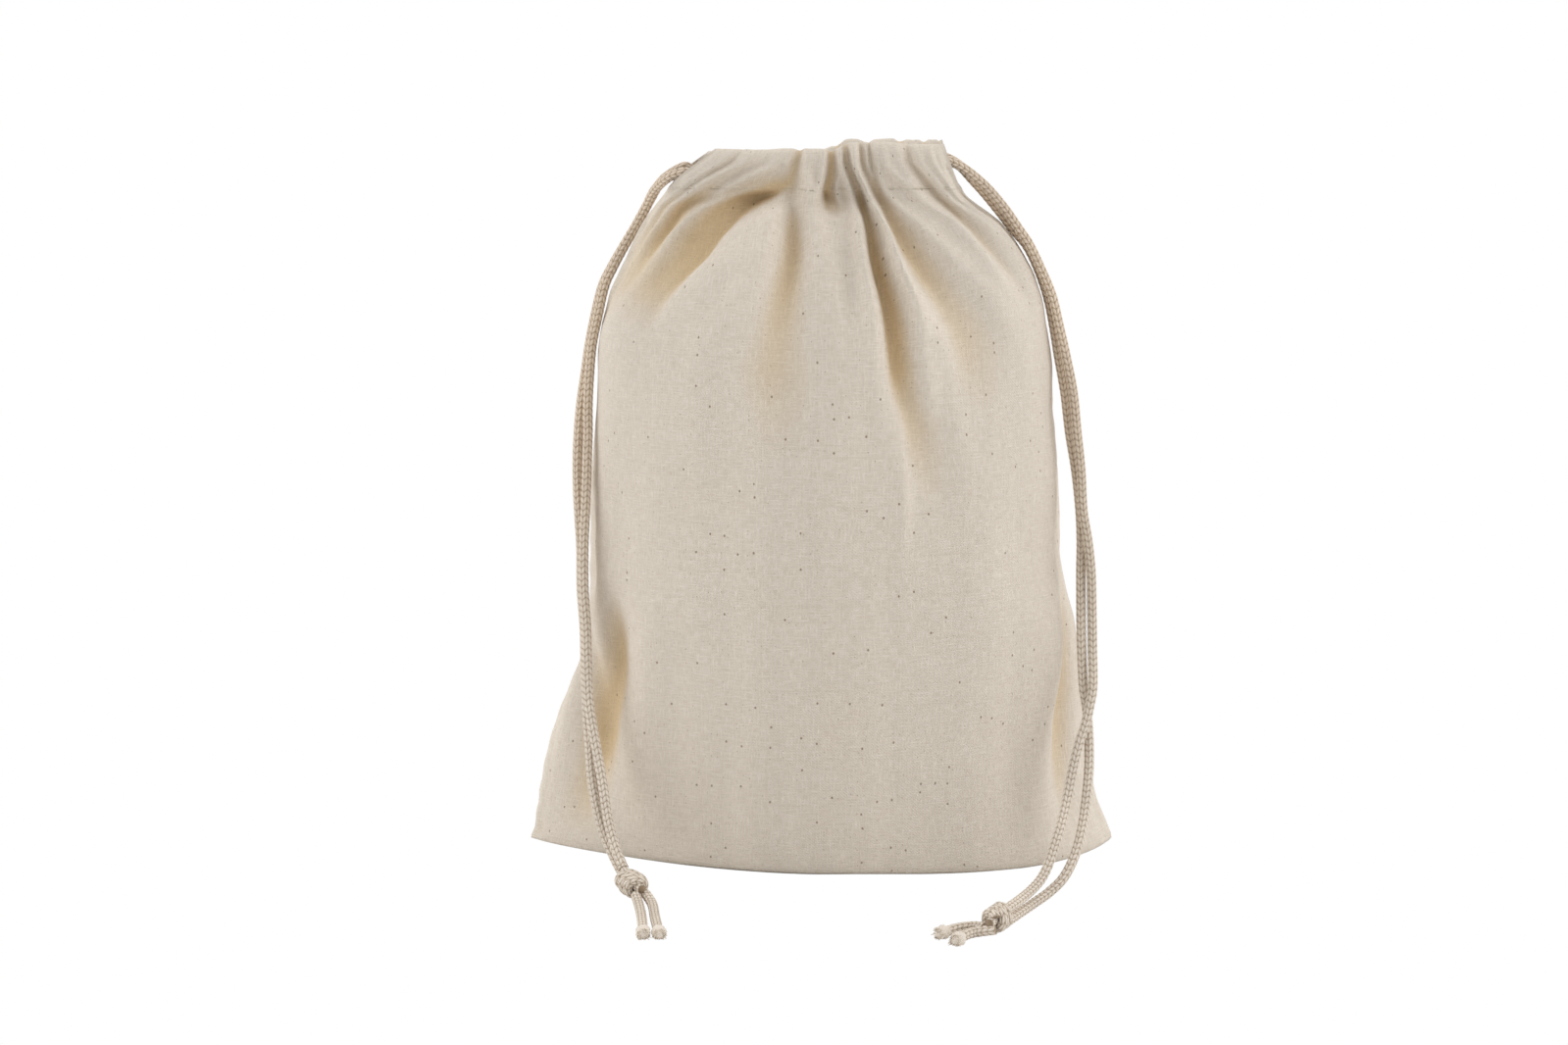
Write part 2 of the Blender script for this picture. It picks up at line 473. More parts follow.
def skin(heights, half_columns):
    """The whole outer skin: its points, its valleys' depths and its normals."""
    places = column_places(half_columns)
    plain = []
    push = []
    for face in ("front", "back"):
        points = face_grid(face, places, heights)
        pushed = cloth_push(face, places[None, :], heights[:, None])
        if face == "back":
            points = points[:, ::-1]
            pushed = pushed[:, ::-1]
        plain.append(points[:, :-1])
        push.append(pushed[:, :-1])
    plain = np.concatenate(plain, axis=1)
    push = np.concatenate(push, axis=1)
    normals = grid_normals(plain, True)
    points = plain - normals * push[..., None]
    points[..., 2] = np.maximum(points[..., 2], 0.0)
    share = smoothstep((heights - 0.955) / 0.045)[:, None]
    facing = np.sign(plain[..., 1])
    straight = plain.copy()
    depth = clear_of_cord(np.abs(plain[..., 1]) - push, heights[:, None])
    hem = np.abs(plain[..., 0]) < 0.995 * np.abs(plain[..., 0]).max(axis=1, keepdims=True)
    straight[..., 1] = facing * np.maximum(np.where(hem, depth, np.abs(plain[..., 1]) - push), 0.0)
    points = points * (1.0 - share[..., None]) + straight * share[..., None]
    return points, push, normals


def add_piece(name, vertices, faces, material, uvs=None, values=None, smooth=True):
    """A new mesh object at the origin that rides on the bag, with its finish."""
    data = bpy.data.meshes.new(name)
    data.from_pydata([tuple(point) for point in vertices], [], [tuple(face) for face in faces])
    if uvs is not None:
        layer = data.uv_layers.new(name="cloth")
        layer.data.foreach_set("uv", np.asarray(uvs, dtype=np.float32).ravel())
    for label, numbers in (values or {}).items():
        attribute = data.attributes.new(label, "FLOAT", "POINT")
        attribute.data.foreach_set("value", np.asarray(numbers, dtype=np.float32).ravel())
    data.validate()
    data.update()
    piece = bpy.data.objects.new(name, data)
    bpy.context.scene.collection.objects.link(piece)
    data.materials.append(material)
    if smooth:
        data.shade_smooth()
    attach(piece, "root")
    return piece


def select_only(piece):
    bpy.ops.object.select_all(action="DESELECT")
    piece.select_set(True)
    bpy.context.view_layer.objects.active = piece


def thicken(piece, thickness):
    """Gives a sheet its thickness, inwards."""
    select_only(piece)
    solid = piece.modifiers.new("thickness", "SOLIDIFY")
    solid.thickness = thickness
    solid.offset = -1.0
    bpy.ops.object.modifier_apply(modifier=solid.name)


def quads(rows, columns, closed):
    """Faces of a grid and the columns and rows of their corners."""
    faces = []
    corners = []
    last = columns if closed else columns - 1
    for row in range(rows - 1):
        for column in range(last):
            after = (column + 1) % columns
            faces.append(
                (row * columns + column, row * columns + after, (row + 1) * columns + after, (row + 1) * columns + column)
            )
            corners.append(((row, column), (row, column + 1), (row + 1, column + 1), (row + 1, column)))
    return faces, corners


def arc_rows(points):
    """The mean length along the cloth from the first row to each row."""
    steps = np.linalg.norm(np.diff(points, axis=0), axis=2).mean(axis=1)
    return np.concatenate(([0.0], np.cumsum(steps)))


def build_pouch(settings):
    """The sewn pouch with its folds: side walls and bottom in one skin."""
    heights = pouch_heights(settings.rows)
    half = settings.columns // 2
    points, push, normals = skin(heights, half)
    rows, columns = push.shape
    faces, corners = quads(rows, columns, True)
    up = arc_rows(points)
    uvs = []
    places = column_places(half)
    across = np.concatenate((places, 2.0 - places[-2::-1])) * PANEL_WIDTH
    for corner in corners:
        for row, column in corner:
            uvs.append((across[column], up[row]))
    vertices = points.reshape(-1, 3)
    valley = push.ravel()
    floor_steps = 14
    ring = points[0]
    extra = []
    index_of = {}
    for column in range(1, half):
        other = columns - column
        for step in range(1, floor_steps):
            share = step / floor_steps
            spot = ring[column] * (1.0 - share) + ring[other] * share
            index_of[column, step] = len(vertices) + len(extra)
            extra.append(spot)
        index_of[column, 0] = column
        index_of[column, floor_steps] = other
    vertices = np.concatenate((vertices, np.array(extra)))
    valley = np.concatenate((valley, np.zeros(len(extra))))
    for column in range(1, half - 1):
        for step in range(floor_steps):
            face = (
                index_of[column, step],
                index_of[column, step + 1],
                index_of[column + 1, step + 1],
                index_of[column + 1, step],
            )
            faces.append(face)
            uvs.extend((vertices[index][0] + 0.1, vertices[index][1] - 0.1) for index in face)
    for end, column in ((0, 1), (half, half - 1)):
        for step in range(floor_steps):
            face = (end, index_of[column, step], index_of[column, step + 1])
            if end == 0:
                face = face[::-1]
            faces.append(face)
            uvs.extend((vertices[index][0] + 0.1, vertices[index][1] - 0.1) for index in face)
    piece = add_piece(
        "pouch_cloth", vertices, faces, cloth_material(settings), uvs, {"valley": valley / MM}
    )
    thicken(piece, settings.thickness)
    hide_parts("pouch")
    return piece


def clear_of_cord(depth, height):
    """Keeps the hem's outer wall in front of the cord inside it."""
    spare = depth - OUTER_CLEAR
    kept = OUTER_CLEAR + 0.5 * (spare + np.sqrt(spare ** 2 + 0.0006 ** 2))
    share = smoothstep((height * POUCH_HEIGHT - STITCH_LEVEL + 0.004) / 0.004)
    return depth * (1.0 - share) + kept * share


def hem_places(half_columns):
    """Places of the columns that a hem shares with the pouch below it."""
    places = column_places(half_columns)
    return places[np.abs(mouth_share(places)) <= HEM_END]


def rim_level(face, along):
    """The height of a hem's folded rim at a place along the mouth, in metres."""
    wobble = soft_noise(61 if face == "front" else 62, 0.5 + 9.0 * along, 0.3 + 0.0 * along, 14, 1)
    if face == "front":
        level = FRONT_RIM + 0.0024 * smoothstep((along - 0.0035) / 0.005) - 0.0008 * smoothstep((along - 0.018) / 0.016)
    else:
        level = 0.2342 + (BACK_RIM - 0.2342) * smoothstep((along + 0.002) / 0.012)
    return level + 0.0003 * wobble


def taper(along, level, start):
    """How much narrower the mouth is at each level than at the start level."""
    share = 0.0
    for side, column in ((-1.0, 1), (1.0, 2)):
        width = np.interp(level / POUCH_HEIGHT, SECTIONS[:, 0], SECTIONS[:, column])
        full = np.interp(start / POUCH_HEIGHT, SECTIONS[:, 0], SECTIONS[:, column])
        share = share + np.where(side * along > 0.0, width / full, 0.0)
    return share


def hem_grid(face, columns):
    """The points of one hem's folded cloth: up its outside, over the rim and down its inside."""
    places = hem_places(columns)
    facing = -1.0 if face == "front" else 1.0
    rows = []
    pushes = []
    outer_levels = [STITCH_LEVEL - 0.0012, STITCH_LEVEL - 0.0002] + [STITCH_LEVEL + 0.0004 + 0.0008 * step for step in range(11)]
    for number, level in enumerate(outer_levels):
        height = level / POUCH_HEIGHT
        plain = plain_row(face, places, height)
        push = cloth_push(face, places[None, :], np.array([[height]]))[0]
        tuck = (0.00006, 0.00004)[number] if number < 2 else 0.0
        depth = clear_of_cord(np.abs(plain[:, 1]) - push, height) - tuck
        row = plain.copy()
        row[:, 1] = facing * depth
        rows.append(row)
        pushes.append(push)
    shoulder = rows[-1].copy()
    push = pushes[-1]
    start = outer_levels[-1]
    rim = rim_level(face, shoulder[:, 0]) - 0.2 * np.maximum(push, 0.0)
    outside = np.abs(shoulder[:, 1])
    inside = np.maximum(INNER_CLEAR - 0.35 * push, 0.5 * MOUTH_GAP)
    for step in range(1, 12):
        angle = math.pi * step / 12
        turn = math.cos(angle)
        lift = math.sin(angle) ** 0.72
        row = shoulder.copy()
        row[:, 1] = facing * (0.5 * (outside + inside) + 0.5 * (outside - inside) * turn)
        row[:, 2] = start + (rim - start) * lift
        row[:, 0] *= taper(shoulder[:, 0], row[:, 2], start)
        rows.append(row)
        pushes.append(push)
    for step in range(8):
        row = shoulder.copy()
        row[:, 1] = facing * inside
        row[:, 2] = start - (start - STITCH_LEVEL + 0.0012) * step / 7
        rows.append(row)
        pushes.append(push)
    return np.array(rows), np.array(pushes)


def build_hem(settings, face):
    points, push = hem_grid(face, settings.columns // 2)
    if face == "back":
        points = points[:, ::-1]
        push = push[:, ::-1]
    rows, columns = push.shape
    faces, corners = quads(rows, columns, False)
    up = arc_rows(points)
    across = hem_places(settings.columns // 2) * PANEL_WIDTH
    if face == "back":
        across = across + PANEL_WIDTH
    uvs = []
    for corner in corners:
        for row, column in corner:
            uvs.append((across[column], up[row] + HEM_CLOTH_START))
    name = f"{face}_hem_cloth"
    piece = add_piece(
        name, points.reshape(-1, 3), faces, cloth_material(settings), uvs, {"valley": push.ravel() / MM}
    )
    thicken(piece, settings.thickness)
    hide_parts(f"{face}_hem")
    return piece


def tube(centres, radii, sides, around_start=None, capped=True):
    """Vertices, faces and corner UVs of a tube along a line of points."""
    centres = np.asarray(centres, dtype=float)
    count = len(centres)
    radii = np.broadcast_to(np.asarray(radii, dtype=float), (count,) if np.ndim(radii) < 2 else np.shape(radii))
    tangents = np.gradient(centres, axis=0)
    tangents /= np.maximum(np.linalg.norm(tangents, axis=1, keepdims=True), 1e-12)
    side = np.array(around_start if around_start is not None else (0.0, 0.0, 1.0), dtype=float)
    frames = []
    for tangent in tangents:
        side = side - tangent * side.dot(tangent)
        if np.linalg.norm(side) < 1e-6:
            side = np.array((1.0, 0.0, 0.0)) - tangent * tangent[0]
        side = side / np.linalg.norm(side)
        frames.append((side, np.cross(tangent, side)))
    angles = 2.0 * np.pi * np.arange(sides) / sides
    vertices = np.zeros((count, sides, 3))
    for index, (first, second) in enumerate(frames):
        radius = radii[index] if np.ndim(radii) == 1 else radii[index][:, None]
        ring = np.cos(angles)[:, None] * first + np.sin(angles)[:, None] * second
        vertices[index] = centres[index] + ring * radius
    lengths = np.concatenate(([0.0], np.cumsum(np.linalg.norm(np.diff(centres, axis=0), axis=1))))
    faces = []
    uvs = []
    for row in range(count - 1):
        for column in range(sides):
            after = (column + 1) % sides
            faces.append((row * sides + column, row * sides + after, (row + 1) * sides + after, (row + 1) * sides + column))
            for spot_row, spot_column in ((row, column), (row, column + 1), (row + 1, column + 1), (row + 1, column)):
                uvs.append((spot_column / sides, lengths[spot_row]))
    vertices = vertices.reshape(-1, 3)
    if capped:
        vertices = np.concatenate((vertices, centres[:1], centres[-1:]))
        low_end = count * sides
        for column in range(sides):
            after = (column + 1) % sides
            faces.append((low_end, after, column))
            uvs.extend(((0.0, 0.0),) * 3)
            faces.append((low_end + 1, (count - 1) * sides + column, (count - 1) * sides + after))
            uvs.extend(((0.0, lengths[-1]),) * 3)
    return vertices, faces, uvs


def join_parts(parts):
    """One set of vertices, faces and UVs from several."""
    vertices = []
    faces = []
    uvs = []
    start = 0
    for part_vertices, part_faces, part_uvs in parts:
        vertices.append(part_vertices)
        faces.extend(tuple(index + start for index in face) for face in part_faces)
        uvs.extend(part_uvs)
        start += len(part_vertices)
    return np.concatenate(vertices), faces, uvs


def smooth_line(points, step):
    """Evenly spaced points on a smooth curve through the given ones."""
    points = np.asarray(points, dtype=float)
    dense = []
    for index in range(len(points) - 1):
        before = points[max(index - 1, 0)]
        start = points[index]
        end = points[index + 1]
        after = points[min(index + 2, len(points) - 1)]
        for part in range(12):
            share = part / 12.0
            dense.append(
                0.5
                * (
                    2.0 * start
                    + (end - before) * share
                    + (2.0 * before - 5.0 * start + 4.0 * end - after) * share ** 2
                    + (3.0 * start - before - 3.0 * end + after) * share ** 3
                )
            )
    dense.append(points[-1])
    dense = np.array(dense)
    lengths = np.concatenate(([0.0], np.cumsum(np.linalg.norm(np.diff(dense, axis=0), axis=1))))
    count = max(2, int(round(lengths[-1] / step)))
    targets = np.linspace(0.0, lengths[-1], count + 1)
    return np.stack([np.interp(targets, lengths, dense[:, axis]) for axis in range(3)], axis=1)


def line_length(points):
    return float(np.linalg.norm(np.diff(points, axis=0), axis=1).sum())


def braid_radii(count, step, sides, settings, radius, phase=0.0):
    """Radii of a braided cord's rings: chevrons of thread with pits between their columns."""
    along = np.arange(count)[:, None] * step / settings.braid_pitch + phase
    around = np.arange(sides)[None, :] / sides * 2.0 * settings.braid_columns
    column = np.floor(around)
    inside = around - column
    slant = np.where(column % 2 == 0, 1.0, -1.0)
    thread = np.abs(np.sin(np.pi * (along + 0.5 * slant * (inside - 0.5))))
    ridge = np.sin(np.pi * inside) ** 0.6
    height = ridge * (0.35 + 0.65 * thread ** 0.7)
    return radius * (1.0 - settings.braid_relief * (1.0 - height))


def strand_lines(route):
    """The centre lines of the two cord ends along a route, in metres."""
    centres = np.array([(row[0], row[1], row[2]) for row in route]) * MM
    first = []
    second = []
    for index, (x, y, z, apart, turn) in enumerate(route):
        before = centres[max(index - 1, 0)]
        after = centres[min(index + 1, len(centres) - 1)]
        along = (after - before) / np.linalg.norm(after - before)
        forward = np.array((0.0, -1.0, 0.0))
        forward = forward - along * forward.dot(along)
        forward = forward / np.linalg.norm(forward)
        sideways = np.cross(forward, along)
        if sideways[0] < 0.0:
            sideways = -sideways
        angle = math.radians(turn)
        offset = (sideways * math.cos(angle) + forward * math.sin(angle)) * 0.5 * MM * apart
        first.append(centres[index] + offset)
        second.append(centres[index] - offset)
    return np.array(first), np.array(second)


def cord_piece(name, line, settings, material, start_side=(0.0, -1.0, 0.0)):
    """A braided cord along a line."""
    radius = 0.5 * settings.diameter
    count = len(line)
    step = line_length(line) / (count - 1)
    radii = braid_radii(count, step, settings.sides, settings, radius)
    vertices, faces, uvs = tube(line, radii, settings.sides, start_side)
    return add_piece(name, vertices, faces, material, uvs)


def frayed_end(tip, heading, radius, seed, length=0.004, count=34):
    """The loose fibres at a cut cord's end."""
    chance = random.Random(seed)
    heading = Vector(heading).normalized()
    side = heading.orthogonal().normalized()
    other = heading.cross(side)
    parts = []
    for number in range(count):
        angle = chance.uniform(0.0, 2.0 * math.pi)
        out = radius * math.sqrt(chance.random())
        start = Vector(tip) - heading * 0.0006 + (side * math.cos(angle) + other * math.sin(angle)) * out * 0.92
        flare = chance.uniform(0.1, 0.55)
        way = heading + (side * math.cos(angle) + other * math.sin(angle)) * flare
        reach = length * chance.uniform(0.45, 1.0)
        bend = Vector((chance.uniform(-1, 1), chance.uniform(-1, 1), chance.uniform(-1, 0.3))) * 0.25 * reach
        line = [start, start + way * reach * 0.5 + bend * 0.3, start + way * reach + bend]
        line = [(point.x, point.y, max(point.z, 0.0004)) for point in line]
        line = smooth_line(line, reach / 5.0)
        thin = np.linspace(0.00024, 0.00009, len(line))
        parts.append(tube(line, thin, 4))
    return parts


def tuft(tip, heading, radius, seed, pitch):
    """The soft swollen end of a cut cord, where the braid has come loose."""
    heading = np.asarray(heading) / np.linalg.norm(heading)
    chance = np.random.default_rng(seed)
    lumps = chance.uniform(0.86, 1.14, (9, 20))
    shape = np.array((0.80, 1.05, 1.24, 1.34, 1.36, 1.32, 1.18, 0.86, 0.30))[:, None] * lumps * radius
    line = np.array([np.asarray(tip) + heading * (0.00062 * step - 0.0010) for step in range(9)])
    vertices, faces, uvs = tube(line, shape, 20)
    vertices[:, 2] = np.maximum(vertices[:, 2], 0.0002)
    return vertices, faces, [(0.0625, 0.5 * pitch)] * len(uvs)


def knot_lines(middle, heading, settings, turns=1.45, slant=0.30):
    """The wraps of a pulled-tight overhand knot: each cord winds round the pair's own middle."""
    along = np.array((heading[0], heading[1], 0.0))
    along = along / np.linalg.norm(along)
    sideways = np.array((-along[1], along[0], 0.0))
    up = np.array((0.0, 0.0, 1.0))
    radius = settings.knot_radius
    lines = []
    for number in range(2):
        shift = (number - 0.5) * settings.diameter * 0.9
        line = []
        for step in range(61):
            share = step / 60.0
            angle = 2.0 * math.pi * turns * share + 0.9
            place = settings.knot_length * 0.5 * (1.0 - 2.0 * share) * 0.42 + shift
            out = radius * (1.0 - 0.30 * (2.0 * share - 1.0) ** 4)
            spot = middle + along * (place + slant * out * math.cos(angle))
            spot = spot + sideways * (math.cos(angle) * out) + up * (math.sin(angle) * out * 0.92)
            line.append(spot)
        lines.append(np.array(line))
    return lines


def node_group(name, outputs, inputs=()):
    group = bpy.data.node_groups.new(name, "ShaderNodeTree")
    for label, kind in outputs:
        group.interface.new_socket(label, in_out="OUTPUT", socket_type=kind)
    for label, kind, value in inputs:
        socket = group.interface.new_socket(label, in_out="INPUT", socket_type=kind)
        socket.default_value = value
    group.nodes.new("NodeGroupOutput").name = "out"
    group.nodes.new("NodeGroupInput").name = "in"
    return group


def node(tree, kind, values=(), **properties):
    made = tree.nodes.new(kind)
    for label, value in properties.items():
        setattr(made, label, value)
    for label, value in dict(values).items():
        made.inputs[label].default_value = value
    return made


def link(tree, start, end):
    tree.links.new(start, end)


def ramp(tree, stops, source):
    made = tree.nodes.new("ShaderNodeValToRGB")
    elements = made.color_ramp.elements
    while len(elements) < len(stops):
        elements.new(0.5)
    for element, (place, colour) in zip(elements, stops):
        element.position = place
        element.color = (*colour, 1.0)
    link(tree, source, made.inputs["Fac"])
    return made


def streaks(tree, coordinates, across, along, detail, seed_shift):
    """Noise stretched along one thread direction."""
    mapping = node(tree, "ShaderNodeMapping")
    mapping.inputs["Scale"].default_value = (across, along, 1.0)
    mapping.inputs["Location"].default_value = (seed_shift, 0.37 * seed_shift, 0.0)
    link(tree, coordinates, mapping.inputs["Vector"])
    noise_node = node(tree, "ShaderNodeTexNoise", {"Scale": 1.0, "Detail": detail, "Roughness": 0.6})
    link(tree, mapping.outputs["Vector"], noise_node.inputs["Vector"])
    return noise_node.outputs["Fac"]


def maths(tree, operation, first, second=None):
    made = node(tree, "ShaderNodeMath", operation=operation)
    for socket, value in zip(made.inputs, (first, second)):
        if value is None:
            continue
        if isinstance(value, (int, float)):
            socket.default_value = value
        else:
            link(tree, value, socket)
    return made.outputs["Value"]


def mix_colours(tree, share, first, second, blend="MIX"):
    made = node(tree, "ShaderNodeMix", data_type="RGBA", blend_type=blend)
    for label, value in (("Factor", share), ("A", first), ("B", second)):
        socket = [item for item in made.inputs if item.name == label and item.enabled][0]
        if isinstance(value, (int, float)):
            socket.default_value = value
        elif isinstance(value, tuple):
            socket.default_value = (*value, 1.0)
        else:
            link(tree, value, socket)
    return [item for item in made.outputs if item.enabled][0]


def weave_group(settings):
    """Colour, roughness and relief of plain-woven unbleached cotton, from its UVs in metres."""
    found = bpy.data.node_groups.get("Cotton weave")
    if found:
        return found
    group = node_group(
        "Cotton weave",
        (("Colour", "NodeSocketColor"), ("Relief", "NodeSocketFloat"), ("Roughness", "NodeSocketFloat")),
    )
    out = group.nodes["out"]
    cloth_map = node(group, "ShaderNodeUVMap", uv_map="cloth").outputs["UV"]
    place = node(group, "ShaderNodeTexCoord").outputs["Object"]
    warp = streaks(group, cloth_map, 2000.0, 260.0, 3.0, 3.1)
    weft = streaks(group, cloth_map, 280.0, 2100.0, 3.0, 8.7)
    slub_warp = streaks(group, cloth_map, 900.0, 22.0, 2.0, 5.5)
    slub_weft = streaks(group, cloth_map, 26.0, 950.0, 2.0, 1.9)
    threads = maths(group, "MAXIMUM", warp, weft)
    broad = streaks(group, place, 34.0, 34.0, 4.0, 2.2)
    base = ramp(
        group,
        ((0.30, tuple(settings.shade_colour)), (0.62, tuple(settings.cloth_colour)), (0.80, tuple(settings.light_colour))),
        threads,
    ).outputs["Color"]
    slub = maths(group, "MAXIMUM", slub_warp, slub_weft)
    slub = node(group, "ShaderNodeMapRange", {"From Min": 0.60, "From Max": 0.78, "To Min": 0.0, "To Max": 0.28})
    slub_max = maths(group, "MAXIMUM", slub_warp, slub_weft)
    link(group, slub_max, slub.inputs["Value"])
    base = mix_colours(group, slub.outputs["Result"], base, tuple(settings.light_colour))
    thin = node(group, "ShaderNodeMapRange", {"From Min": 0.42, "From Max": 0.28, "To Min": 0.0, "To Max": 0.28})
    thin_min = maths(group, "MINIMUM", slub_warp, slub_weft)
    link(group, thin_min, thin.inputs["Value"])
    base = mix_colours(group, thin.outputs["Result"], base, tuple(settings.shade_colour))
    blotch = node(group, "ShaderNodeMapRange", {"From Min": 0.35, "From Max": 0.65, "To Min": 0.94, "To Max": 1.04})
    link(group, broad, blotch.inputs["Value"])
    base = mix_colours(group, 1.0, base, blotch.outputs["Result"], "MULTIPLY")
    valley = node(group, "ShaderNodeAttribute", attribute_name="valley")
    deep = node(group, "ShaderNodeMapRange", {"From Min": 0.8, "From Max": 6.0, "To Min": 0.0, "To Max": 0.8})
    link(group, valley.outputs["Fac"], deep.inputs["Value"])
    base = mix_colours(group, deep.outputs["Result"], base, tuple(settings.valley_colour), "MULTIPLY")
    for scale, size, strength, shift in ((230.0, 0.085, 0.75, 0.0), (520.0, 0.10, 0.45, 7.0)):
        cells = node(group, "ShaderNodeTexVoronoi", {"Scale": scale, "Randomness": 1.0}, voronoi_dimensions="2D")
        stretch = node(group, "ShaderNodeMapping")
        stretch.inputs["Scale"].default_value = (1.0, 0.7, 1.0)
        stretch.inputs["Location"].default_value = (shift, shift, 0.0)
        link(group, cloth_map, stretch.inputs["Vector"])
        link(group, stretch.outputs["Vector"], cells.inputs["Vector"])
        fleck = node(group, "ShaderNodeMapRange", {"From Min": size, "From Max": 0.6 * size, "To Min": 0.0, "To Max": strength})
        link(group, cells.outputs["Distance"], fleck.inputs["Value"])
        rare = node(group, "ShaderNodeSeparateColor")
        link(group, cells.outputs["Color"], rare.inputs["Color"])
        chosen = maths(group, "GREATER_THAN", rare.outputs["Red"], 0.88)
        amount = maths(group, "MULTIPLY", fleck.outputs["Result"], chosen)
        base = mix_colours(group, amount, base, tuple(settings.fleck_colour))
    link(group, base, out.inputs["Colour"])
    checker = node(group, "ShaderNodeMapping")
    checker.inputs["Scale"].default_value = (6283.0 / settings.thread_pitch_mm, 6283.0 / settings.thread_pitch_mm, 1.0)
    link(group, cloth_map, checker.inputs["Vector"])
    separate = node(group, "ShaderNodeSeparateXYZ")
    link(group, checker.outputs["Vector"], separate.inputs["Vector"])
    wave_u = maths(group, "SINE", separate.outputs["X"])
    wave_v = maths(group, "SINE", separate.outputs["Y"])
    weave = maths(group, "MULTIPLY", maths(group, "MULTIPLY", wave_u, wave_v), 0.25)
    relief = maths(group, "ADD", maths(group, "ADD", weave, threads), slub.outputs["Result"])
    link(group, relief, out.inputs["Relief"])
    rough = node(group, "ShaderNodeMapRange", {"From Min": 0.3, "From Max": 0.7, "To Min": 0.86, "To Max": 0.97})
    link(group, threads, rough.inputs["Value"])
    link(group, rough.outputs["Result"], out.inputs["Roughness"])
    return group


def new_material(name, group, bump_strength, bump_distance, sheen):
    """A matt fabric whose colour, roughness and relief come from a node group."""
    found = bpy.data.materials.get(name)
    if found:
        return found
    made = bpy.data.materials.new(name)
    made.use_nodes = True
    tree = made.node_tree
    shader = tree.nodes["Principled BSDF"]
    effect = node(tree, "ShaderNodeGroup")
    effect.node_tree = group
    bump = node(tree, "ShaderNodeBump", {"Strength": bump_strength, "Distance": bump_distance})
    link(tree, effect.outputs["Relief"], bump.inputs["Height"])
    link(tree, effect.outputs["Colour"], shader.inputs["Base Color"])
    if "Roughness" in effect.outputs:
        link(tree, effect.outputs["Roughness"], shader.inputs["Roughness"])
    else:
        shader.inputs["Roughness"].default_value = 0.93
    link(tree, bump.outputs["Normal"], shader.inputs["Normal"])
    shader.inputs["Specular IOR Level"].default_value = 0.2
    shader.inputs["Sheen Weight"].default_value = sheen
    shader.inputs["Sheen Roughness"].default_value = 0.5
    return made


def cloth_material(settings):
    return new_material("Unbleached cotton", weave_group(settings), 0.35, 0.0003, 0.12)


def braid_group(settings):
    """Colour and relief of a cotton braid, from the tube's UVs: once round, and metres along."""
    found = bpy.data.node_groups.get("Cotton braid")
    if found:
        return found
    group = node_group(
        "Cotton braid",
        (("Colour", "NodeSocketColor"), ("Relief", "NodeSocketFloat")),
    )
    out = group.nodes["out"]
    cord_map = node(group, "ShaderNodeUVMap", uv_map="cloth").outputs["UV"]
    place = node(group, "ShaderNodeTexCoord").outputs["Object"]
    separate = node(group, "ShaderNodeSeparateXYZ")
    link(group, cord_map, separate.inputs["Vector"])
    around = maths(group, "MULTIPLY", separate.outputs["X"], 2.0 * settings.braid_columns)
    column = maths(group, "FLOOR", around)
    inside = maths(group, "SUBTRACT", around, column)
    odd = maths(group, "MODULO", column, 2.0)
    slant = maths(group, "SUBTRACT", 1.0, maths(group, "MULTIPLY", odd, 2.0))
    along = maths(group, "DIVIDE", separate.outputs["Y"], settings.braid_pitch)
    tilt = maths(group, "MULTIPLY", maths(group, "MULTIPLY", slant, 0.5), maths(group, "SUBTRACT", inside, 0.5))
    phase = maths(group, "MULTIPLY", maths(group, "ADD", along, tilt), math.pi)
    thread = maths(group, "ABSOLUTE", maths(group, "SINE", phase))
    ridge = maths(group, "SINE", maths(group, "MULTIPLY", inside, math.pi))
    height = maths(group, "MULTIPLY", maths(group, "POWER", ridge, 0.6), maths(group, "POWER", thread, 0.7))
    fibres = streaks(group, place, 1500.0, 1500.0, 4.0, 0.7)
    height = maths(group, "ADD", height, maths(group, "MULTIPLY", fibres, 0.35))
    base = ramp(
        group,
        ((0.12, tuple(settings.pit_colour)), (0.55, tuple(settings.cord_colour)), (1.0, tuple(settings.thread_colour))),
        height,
    ).outputs["Color"]
    tone = streaks(group, place, 60.0, 60.0, 3.0, 4.4)
    blotch = node(group, "ShaderNodeMapRange", {"From Min": 0.35, "From Max": 0.65, "To Min": 0.92, "To Max": 1.06})
    link(group, tone, blotch.inputs["Value"])
    base = mix_colours(group, 1.0, base, blotch.outputs["Result"], "MULTIPLY")
    level = node(group, "ShaderNodeSeparateXYZ")
    link(group, place, level.inputs["Vector"])
    tan = node(group, "ShaderNodeMapRange", {"From Min": 0.05, "From Max": 0.15, "To Min": 0.0, "To Max": 1.0})
    link(group, level.outputs["Z"], tan.inputs["Value"])
    base = mix_colours(group, tan.outputs["Result"], base, tuple(settings.tan_colour), "MULTIPLY")
    link(group, base, out.inputs["Colour"])
    link(group, height, out.inputs["Relief"])
    return group


def cord_material(settings):
    return new_material("Braided cotton cord", braid_group(settings), 0.6, 0.0004, 0.18)


def thread_material(settings):
    """The sewing thread, a twisted cotton."""
    found = bpy.data.materials.get("Sewing thread")
    if found:
        return found
    made = bpy.data.materials.new("Sewing thread")
    made.use_nodes = True
    tree = made.node_tree
    shader = tree.nodes["Principled BSDF"]
    place = node(tree, "ShaderNodeTexCoord").outputs["Object"]
    fibres = streaks(tree, place, 2500.0, 2500.0, 2.0, 1.3)
    base = ramp(tree, ((0.3, tuple(settings.thread_shade)), (0.7, tuple(settings.thread_light))), fibres)
    link(tree, base.outputs["Color"], shader.inputs["Base Color"])
    shader.inputs["Roughness"].default_value = 0.85
    shader.inputs["Specular IOR Level"].default_value = 0.3
    return made


